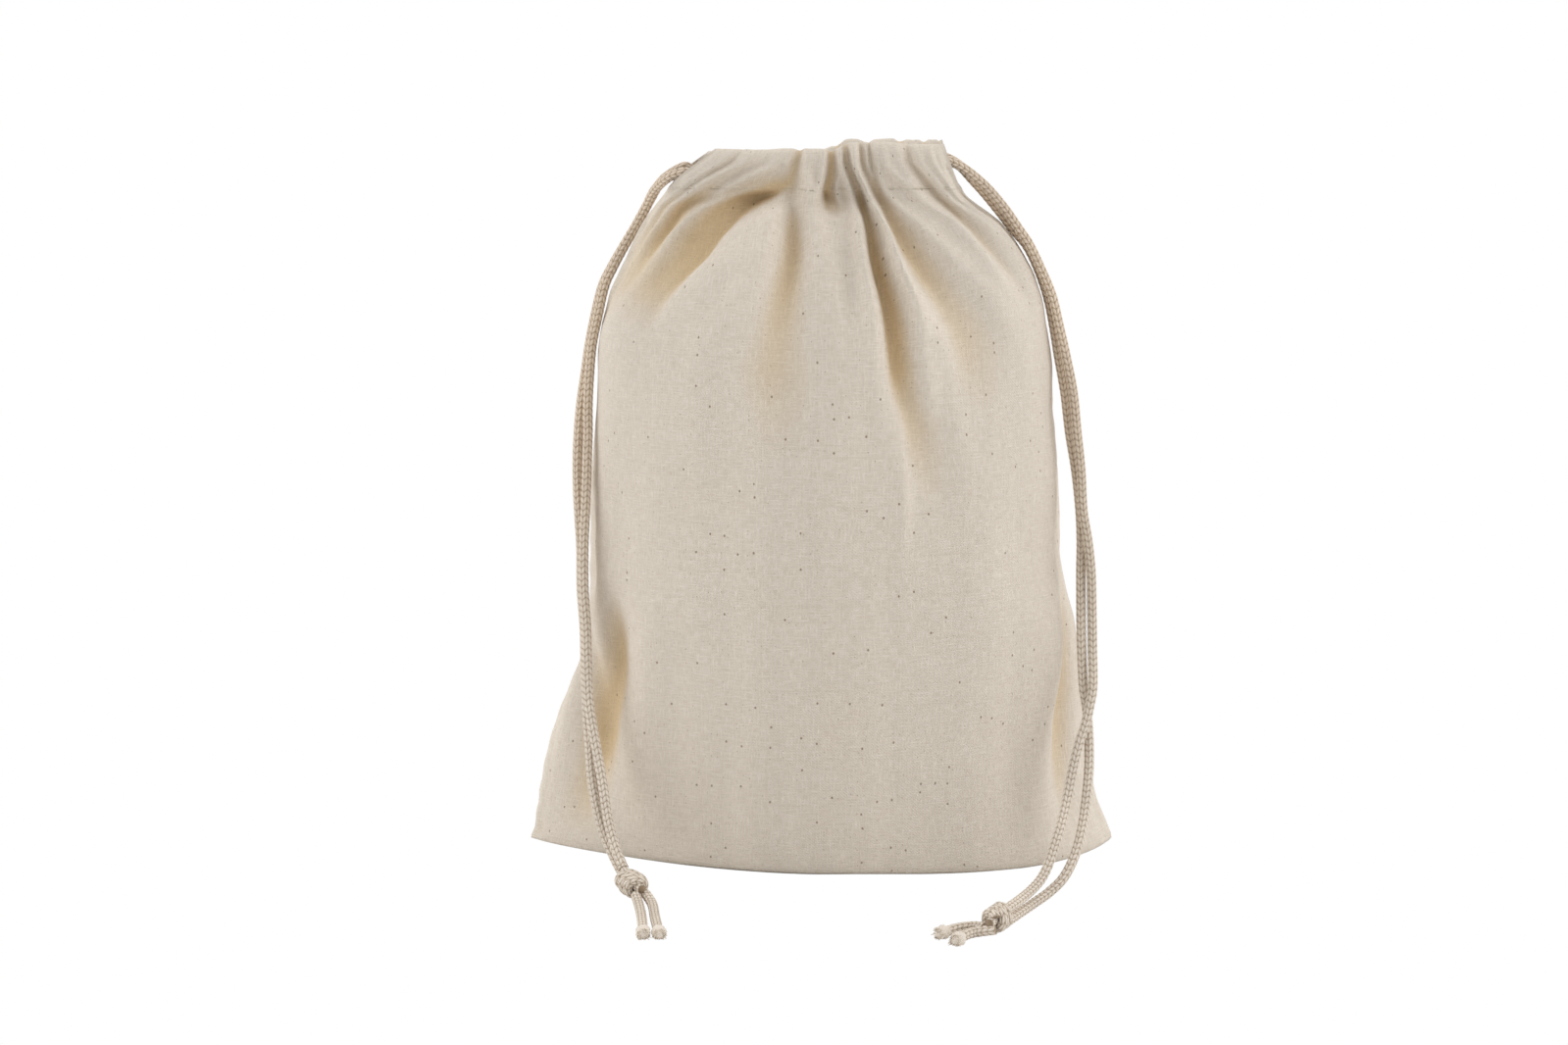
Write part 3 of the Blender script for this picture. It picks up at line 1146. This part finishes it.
def stitch(start, end, normal, radius):
    """One stitch: a short bulging thread whose ends dive into the cloth."""
    start = np.asarray(start)
    end = np.asarray(end)
    line = []
    for share in (0.0, 0.08, 0.3, 0.5, 0.7, 0.92, 1.0):
        lift = math.sin(math.pi * share) ** 0.5
        line.append(start + (end - start) * share + normal * radius * (1.3 * lift - 0.9))
    radii = np.array((0.55, 0.9, 1.0, 1.0, 1.0, 0.9, 0.55)) * radius
    return tube(np.array(line), radii, 6)


def surface_line(face, level, places):
    """Points of the cloth's outside at a level, with their normals."""
    heights = np.array([level - 0.0006, level, level + 0.0006]) / POUCH_HEIGHT
    plain = face_grid(face, places, heights)
    push = cloth_push(face, places[None, :], heights[:, None])
    facing = -1.0 if face == "front" else 1.0
    plain[..., 1] -= facing * push
    normals = grid_normals(plain, False) * (1.0 if face == "front" else -1.0)
    return plain[1], normals[1]


def build_stitches(settings, face):
    """The row of stitches that closes one hem's tunnel."""
    edge = math.acos(HEM_END) / math.pi
    places = np.linspace(edge, 1.0 - edge, 1400)
    rows = {}
    for offset in (-1, 0, 1):
        rows[offset] = surface_line(face, STITCH_LEVEL + 0.0005 * offset, places)
    points, normals = rows[0]
    lengths = np.concatenate(([0.0], np.cumsum(np.linalg.norm(np.diff(points, axis=0), axis=1))))
    parts = []
    place = 0.0012
    chance = random.Random(5 if face == "front" else 6)
    while place + settings.length < lengths[-1] - 0.0010:
        start = int(np.searchsorted(lengths, place))
        end = int(np.searchsorted(lengths, place + settings.length))
        wave = 0.00035 * math.sin(place / 0.009) + chance.uniform(-0.0001, 0.0001)
        first = points[start] + np.array((0.0, 0.0, wave))
        second = points[end] + np.array((0.0, 0.0, wave + chance.uniform(-0.00012, 0.00012)))
        parts.append(stitch(first, second, normals[(start + end) // 2], settings.thread_radius))
        place += settings.length + settings.gap * chance.uniform(0.8, 1.25)
    vertices, faces, uvs = join_parts(parts)
    return add_piece(f"{face}_hem_stitches", vertices, faces, thread_material(settings), uvs)


class BagClothSettings(bpy.types.PropertyGroup):
    columns: IntProperty(name="Columns", description="Columns of the pouch's mesh, all the way round", default=352, min=80)
    rows: IntProperty(name="Rows", description="Rows of the pouch's mesh, from the foot to the hem", default=122, min=40)
    thickness: FloatProperty(
        name="Thickness", description="Thickness of the cotton", default=0.0005, min=0.0002, subtype="DISTANCE", unit="LENGTH"
    )
    thread_pitch_mm: FloatProperty(
        name="Thread pitch", description="Millimetres of cloth for each pair of threads", default=1.0, min=0.2
    )
    cloth_colour: FloatVectorProperty(
        name="Cloth", description="Mean colour of the unbleached cotton", default=(0.765, 0.692, 0.602), subtype="COLOR"
    )
    light_colour: FloatVectorProperty(
        name="Slubs", description="Colour of thick pale threads", default=(0.860, 0.810, 0.720), subtype="COLOR"
    )
    shade_colour: FloatVectorProperty(
        name="Between threads", description="Colour between the threads", default=(0.610, 0.532, 0.440), subtype="COLOR"
    )
    valley_colour: FloatVectorProperty(
        name="Valleys", description="Tint of the cloth deep in its folds", default=(0.90, 0.74, 0.47), subtype="COLOR"
    )
    fleck_colour: FloatVectorProperty(
        name="Flecks", description="Colour of the seed flecks", default=(0.190, 0.120, 0.070), subtype="COLOR"
    )


class BagCordSettings(bpy.types.PropertyGroup):
    diameter: FloatProperty(
        name="Diameter", description="Diameter of the braided cord", default=0.0034, min=0.002, subtype="DISTANCE", unit="LENGTH"
    )
    ring_step: FloatProperty(
        name="Ring step", description="Length of cord between two rings of its mesh", default=0.00042, min=0.0002,
        subtype="DISTANCE", unit="LENGTH"
    )
    sides: IntProperty(name="Sides", description="Sides of the cord's mesh", default=24, min=8)
    braid_columns: IntProperty(name="Braid columns", description="Chevron columns round the cord", default=4, min=2)
    braid_pitch: FloatProperty(
        name="Braid pitch", description="Length of one chevron along the cord", default=0.0021, min=0.0005,
        subtype="DISTANCE", unit="LENGTH"
    )
    braid_relief: FloatProperty(name="Braid relief", description="Depth of the pits as a share of the radius", default=0.16, min=0.0, max=0.4)
    knot_radius: FloatProperty(
        name="Knot radius", description="Distance of the wraps' centre line from the knot's middle", default=0.0030, min=0.001,
        subtype="DISTANCE", unit="LENGTH"
    )
    knot_length: FloatProperty(
        name="Knot length", description="Length of the knot along its cords", default=0.0125, min=0.005, subtype="DISTANCE", unit="LENGTH"
    )
    cord_colour: FloatVectorProperty(
        name="Cord", description="Mean colour of the braid", default=(0.720, 0.620, 0.515), subtype="COLOR"
    )
    thread_colour: FloatVectorProperty(
        name="Raised threads", description="Colour of the braid's raised threads", default=(0.840, 0.760, 0.665), subtype="COLOR"
    )
    tan_colour: FloatVectorProperty(
        name="Upper tint", description="Tint of the cord's upper part", default=(0.98, 0.92, 0.85), subtype="COLOR"
    )
    pit_colour: FloatVectorProperty(
        name="Pits", description="Colour in the braid's pits", default=(0.270, 0.185, 0.110), subtype="COLOR"
    )


class BagStitchSettings(bpy.types.PropertyGroup):
    length: FloatProperty(
        name="Stitch length", description="Length of one stitch", default=0.0021, min=0.0005, subtype="DISTANCE", unit="LENGTH"
    )
    gap: FloatProperty(
        name="Gap", description="Distance between two stitches", default=0.0006, min=0.0001, subtype="DISTANCE", unit="LENGTH"
    )
    thread_radius: FloatProperty(
        name="Thread radius", description="Radius of the sewing thread", default=0.00024, min=0.0001, subtype="DISTANCE", unit="LENGTH"
    )
    thread_light: FloatVectorProperty(
        name="Thread", description="Colour of the thread's lit fibres", default=(0.780, 0.720, 0.620), subtype="COLOR"
    )
    thread_shade: FloatVectorProperty(
        name="Thread shade", description="Colour between the thread's fibres", default=(0.600, 0.520, 0.410), subtype="COLOR"
    )


class BagStageSettings(bpy.types.PropertyGroup):
    sky: FloatProperty(name="Sky", description="Strength of the surrounding light", default=1.0, min=0.0)
    front: FloatProperty(name="Front", description="Share of the surrounding light that comes from the front", default=0.24, min=0.0)
    key_power: FloatProperty(name="Key power", description="Power of the soft light on the right", default=3.4, min=0.0, subtype="POWER")


class BAG_OT_pouch(bpy.types.Operator):
    """Builds the sewn pouch with its folds and wrinkles"""

    bl_idname = "bag.pouch"
    bl_label = "Pouch cloth"

    def execute(self, context):
        build_pouch(context.scene.bag_cloth)
        return {"FINISHED"}


class BAG_OT_hems(bpy.types.Operator):
    """Builds the two gathered hems round the mouth"""

    bl_idname = "bag.hems"
    bl_label = "Hems"

    def execute(self, context):
        for face in ("front", "back"):
            build_hem(context.scene.bag_cloth, face)
        return {"FINISHED"}


class BAG_OT_stitches(bpy.types.Operator):
    """Sews the rows of stitches that close the hems"""

    bl_idname = "bag.stitches"
    bl_label = "Stitches"

    def execute(self, context):
        for face in ("front", "back"):
            build_stitches(context.scene.bag_stitches, face)
        return {"FINISHED"}


def cord_in_hems(level, side, settings):
    """The line of the hidden stretch of a drawcord: along one hem, round and back through the other."""
    away = 0.0064
    start = HEM_TOP_HALF_WIDTH + HEM_SLOPE * (FRONT_RIM - level)
    turn = start - away - 0.5 * settings.diameter
    points = [(-start + share * (turn + start), -away, level) for share in np.linspace(0.0, 0.8, 5)]
    for angle in np.linspace(0.0, math.pi, 7):
        points.append((turn + away * math.sin(angle), -away * math.cos(angle), level))
    points += [(turn - share * (turn + start), away, level) for share in np.linspace(0.2, 1.0, 5)]
    points = [(side * x, y, z) for x, y, z in points]
    return smooth_line(points, 2.0 * settings.ring_step)


def build_side(name, route, tails, settings):
    """One drawcord: its hidden stretch, its two hanging ends, the knot and the tails."""
    material = cord_material(settings)
    side = 1.0 if name == "left" else -1.0
    hidden = cord_piece(f"{name}_cord_hidden", cord_in_hems(route[0][2] * MM, side, settings), settings, material)
    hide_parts(f"{name}_cord_in_hems")
    lines = [smooth_line(line, settings.ring_step) for line in strand_lines(route)]
    ends = 0.5 * (lines[0][-1] + lines[1][-1])
    before = 0.5 * (lines[0][-12] + lines[1][-12])
    heading = ends - before
    heading[2] = 0.0
    heading = heading / np.linalg.norm(heading)
    middle = ends + heading * 0.5 * settings.knot_length
    middle[2] = 0.0050
    wraps = knot_lines(middle, heading, settings)
    parts = []
    for number, wrap in enumerate(wraps):
        line = smooth_line(wrap, settings.ring_step)
        radii = braid_radii(len(line), settings.ring_step, settings.sides, settings, 0.47 * settings.diameter)
        parts.append(tube(line, radii, settings.sides, (0.0, 0.0, 1.0)))
    for number, line in enumerate(lines):
        core = [line[-1], middle + (line[-1] - ends) * 0.4, middle + heading * 0.5 * settings.knot_length]
        core = smooth_line(core, settings.ring_step)
        radii = braid_radii(len(core), settings.ring_step, settings.sides, settings, 0.44 * settings.diameter)
        parts.append(tube(core, radii, settings.sides))
    across = np.array((-heading[1], heading[0], 0.0)) * 0.52 * settings.diameter
    for number, tail in enumerate(tails):
        start = middle + heading * 0.42 * settings.knot_length
        start = start + (across if (number == 0) == (across[0] < 0.0) else -across)
        start[2] = 0.0030
        rest = 0.5 * settings.diameter + 0.0001
        points = [start] + [np.array((x * MM, y * MM, rest)) for x, y in tail]
        line = smooth_line(points, settings.ring_step)
        radii = braid_radii(len(line), settings.ring_step, settings.sides, settings, 0.5 * settings.diameter)
        parts.append(tube(line, radii, settings.sides))
        seed = number + (1 if name == "left" else 7)
        ahead = line[-1] - line[-6]
        parts.append(tuft(line[-1], ahead, 0.5 * settings.diameter, seed, settings.braid_pitch))
        tip = line[-1] + ahead / np.linalg.norm(ahead) * 0.0034
        for vertices, faces, uvs in frayed_end(tip, ahead, 0.6 * settings.diameter, seed, 0.0016, 70):
            parts.append((vertices, faces, [(0.0625, 0.5 * settings.braid_pitch)] * len(uvs)))
    vertices, faces, uvs = join_parts(parts)
    knot = add_piece(f"{name}_knot_and_tails", vertices, faces, material, uvs)
    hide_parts(f"{name}_knot", f"{name}_tail_1", f"{name}_tail_2")
    for label, line in zip(("front", "back"), lines):
        piece = cord_piece(f"{name}_cord_{label}", line, settings, material)
        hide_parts(f"{name}_strand_{label}")


class BAG_OT_cords(bpy.types.Operator):
    """Braids the two drawcords, with their knots and frayed tails"""

    bl_idname = "bag.cords"
    bl_label = "Drawcords"

    def execute(self, context):
        settings = context.scene.bag_cords
        build_side("left", LEFT_ROUTE, LEFT_TAILS, settings)
        build_side("right", RIGHT_ROUTE, RIGHT_TAILS, settings)
        return {"FINISHED"}


def build_world(settings):
    """Surrounding light that is weaker from the front."""
    world = bpy.data.worlds.new("Surroundings")
    bpy.context.scene.world = world
    world.use_nodes = True
    tree = world.node_tree
    background = tree.nodes["Background"]
    direction = node(tree, "ShaderNodeTexCoord").outputs["Generated"]
    separate = node(tree, "ShaderNodeSeparateXYZ")
    link(tree, direction, separate.inputs["Vector"])
    facing = node(
        tree,
        "ShaderNodeMapRange",
        {"From Min": -0.9, "From Max": 0.15, "To Min": settings.front, "To Max": 1.0},
        interpolation_type="SMOOTHSTEP",
    )
    link(tree, separate.outputs["Y"], facing.inputs["Value"])
    above = node(
        tree,
        "ShaderNodeMapRange",
        {"From Min": 0.35, "From Max": 0.9, "To Min": 0.0, "To Max": 1.0},
        interpolation_type="SMOOTHSTEP",
    )
    link(tree, separate.outputs["Z"], above.inputs["Value"])
    strength = maths(tree, "MAXIMUM", facing.outputs["Result"], above.outputs["Result"])
    strength = maths(tree, "MULTIPLY", strength, settings.sky)
    background.inputs["Color"].default_value = (1.0, 0.995, 0.985, 1.0)
    link(tree, strength, background.inputs["Strength"])


def add_camera():
    data = bpy.data.cameras.new("Camera")
    camera = bpy.data.objects.new("Camera", data)
    bpy.context.scene.collection.objects.link(camera)
    camera.location = CAMERA_PLACE
    way = Vector(CAMERA_TARGET) - Vector(CAMERA_PLACE)
    camera.rotation_euler = way.to_track_quat("-Z", "Y").to_euler()
    data.lens = CAMERA_LENS
    data.sensor_width = 36.0
    data.clip_start = 0.01
    data.clip_end = 300.0
    bpy.context.scene.camera = camera


class BAG_OT_stage(bpy.types.Operator):
    """Sets the floor, the lights and the camera"""

    bl_idname = "bag.stage"
    bl_label = "Stage"

    def execute(self, context):
        settings = context.scene.bag_stage
        bpy.ops.object.select_all(action="DESELECT")
        bpy.ops.mesh.primitive_plane_add(size=600.0, location=(0.0, 0.0, 0.0))
        floor = context.active_object
        floor.name = "floor"
        finish = bpy.data.materials.new("White board")
        finish.use_nodes = True
        shader = finish.node_tree.nodes["Principled BSDF"]
        shader.inputs["Base Color"].default_value = (0.93, 0.93, 0.925, 1.0)
        shader.inputs["Roughness"].default_value = 0.9
        shader.inputs["Specular IOR Level"].default_value = 0.1
        tree = finish.node_tree
        glow = node(tree, "ShaderNodeEmission", {"Color": (1.0, 1.0, 1.0, 1.0), "Strength": 1.0})
        rays = node(tree, "ShaderNodeLightPath")
        blend = node(tree, "ShaderNodeMixShader")
        link(tree, rays.outputs["Is Camera Ray"], blend.inputs["Fac"])
        link(tree, shader.outputs["BSDF"], blend.inputs[1])
        link(tree, glow.outputs["Emission"], blend.inputs[2])
        link(tree, blend.outputs["Shader"], tree.nodes["Material Output"].inputs["Surface"])
        floor.data.materials.append(finish)
        for name, place, power, size in (
            ("key", (0.85, -0.35, 0.75), settings.key_power, 0.8),
            ("side", (-0.95, -0.15, 0.55), 0.75 * settings.key_power, 0.8),
        ):
            data = bpy.data.lights.new(name, "AREA")
            data.energy = power
            data.size = size
            lamp = bpy.data.objects.new(name, data)
            context.scene.collection.objects.link(lamp)
            lamp.location = place
            way = Vector((0.0, 0.0, 0.12)) - Vector(place)
            lamp.rotation_euler = way.to_track_quat("-Z", "Y").to_euler()
        build_world(settings)
        add_camera()
        context.scene.view_settings.view_transform = "Standard"
        context.scene.view_settings.look = "None"
        return {"FINISHED"}


class BAG_PT_panel(bpy.types.Panel):
    """The bag's settings and its building steps"""

    bl_idname = "BAG_PT_panel"
    bl_label = "Produce bag"
    bl_space_type = "VIEW_3D"
    bl_region_type = "UI"
    bl_category = "Bag"

    def draw(self, context):
        layout = self.layout
        for group, operators in PANEL_ROWS:
            box = layout.box()
            settings = getattr(context.scene, group)
            for label in settings.bl_rna.properties.keys():
                if label not in ("rna_type", "name"):
                    box.prop(settings, label)
            for operator in operators:
                box.operator(operator)


PANEL_ROWS = (
    ("bag_cloth", ("bag.pouch", "bag.hems")),
    ("bag_stitches", ("bag.stitches",)),
    ("bag_cords", ("bag.cords",)),
    ("bag_stage", ("bag.stage",)),
)
GROUPS = {
    "bag_cloth": BagClothSettings,
    "bag_cords": BagCordSettings,
    "bag_stitches": BagStitchSettings,
    "bag_stage": BagStageSettings,
}
CLASSES = tuple(GROUPS.values()) + (
    BAG_OT_pouch,
    BAG_OT_hems,
    BAG_OT_stitches,
    BAG_OT_cords,
    BAG_OT_stage,
    BAG_PT_panel,
)


def register():
    for item in CLASSES:
        bpy.utils.register_class(item)
    for name, group in GROUPS.items():
        setattr(bpy.types.Scene, name, PointerProperty(type=group))


def unregister():
    for name in GROUPS:
        delattr(bpy.types.Scene, name)
    for item in reversed(CLASSES):
        bpy.utils.unregister_class(item)


def main():
    register()
    bpy.ops.bag.pouch()
    bpy.ops.bag.hems()
    bpy.ops.bag.stitches()
    bpy.ops.bag.cords()
    bpy.ops.bag.stage()


if __name__ == "__main__":
    main()
